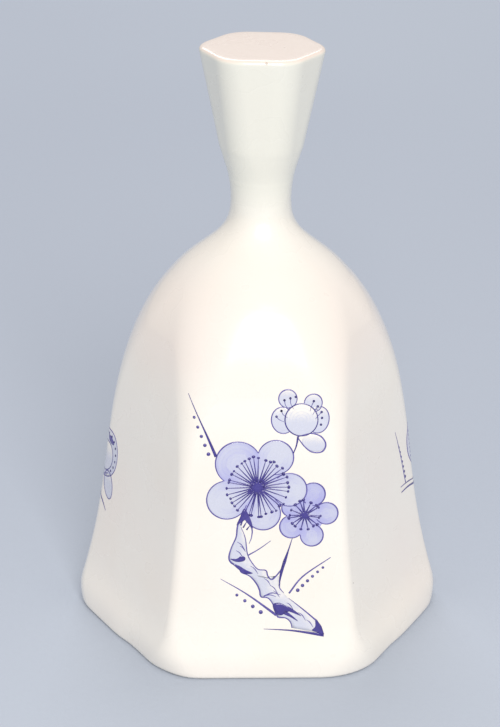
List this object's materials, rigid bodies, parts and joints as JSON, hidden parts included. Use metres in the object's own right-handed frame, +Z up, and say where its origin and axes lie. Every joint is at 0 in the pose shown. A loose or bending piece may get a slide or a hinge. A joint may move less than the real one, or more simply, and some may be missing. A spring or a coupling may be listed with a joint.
{
  "type": "porcelain hand bell",
  "caption": "Hexagonal glazed porcelain hand bell with a flared rim, a faceted handle and a hanging ball clapper on a short wire chain.",
  "frame": {"origin": "centre of the rim's flat lower edge, the plane that the bell stands on", "axes": "+Z up along the bell's axis to the handle's top; a flat facet faces -Y and two ridges lie on the X axis"},
  "size_m": [0.0794, 0.072, 0.127],
  "materials": {
    "porcelain": "clear glaze over white porcelain, blue painting under it",
    "ball_glaze": "clear glaze over white porcelain",
    "cement": "dry plaster cement",
    "brass_wire": "drawn wire, dulled"
  },
  "bodies": {
    "bell": {"bell_body": "porcelain", "crown_cement": "cement", "crown_staple": "brass_wire"},
    "link_1": {"chain_link_1": "brass_wire"},
    "link_2": {"chain_link_2": "brass_wire"},
    "link_3": {"chain_link_3": "brass_wire"},
    "clapper": {"clapper_pin": "brass_wire", "clapper_ball": "ball_glaze"}
  },
  "joints": [
    {"name": "link_1_swing", "type": "hinge", "parent": "bell", "child": "link_1", "pos_m": [0, 0, 0.08023], "axis": [1, 0, 0], "range_deg": [-10.7, 10.7]},
    {"name": "link_2_swing", "type": "hinge", "parent": "link_1", "child": "link_2", "pos_m": [0, 0, 0.07375], "axis": [0, 1, 0], "range_deg": [-6.9, 6.9]},
    {"name": "link_3_swing", "type": "hinge", "parent": "link_2", "child": "link_3", "pos_m": [0, 0, 0.06727], "axis": [1, 0, 0], "range_deg": [-10.7, 10.7]},
    {"name": "clapper_swing", "type": "hinge", "parent": "link_3", "child": "clapper", "pos_m": [0, 0, 0.06079], "axis": [0, 1, 0], "range_deg": [-6.9, 6.9]}
  ]
}
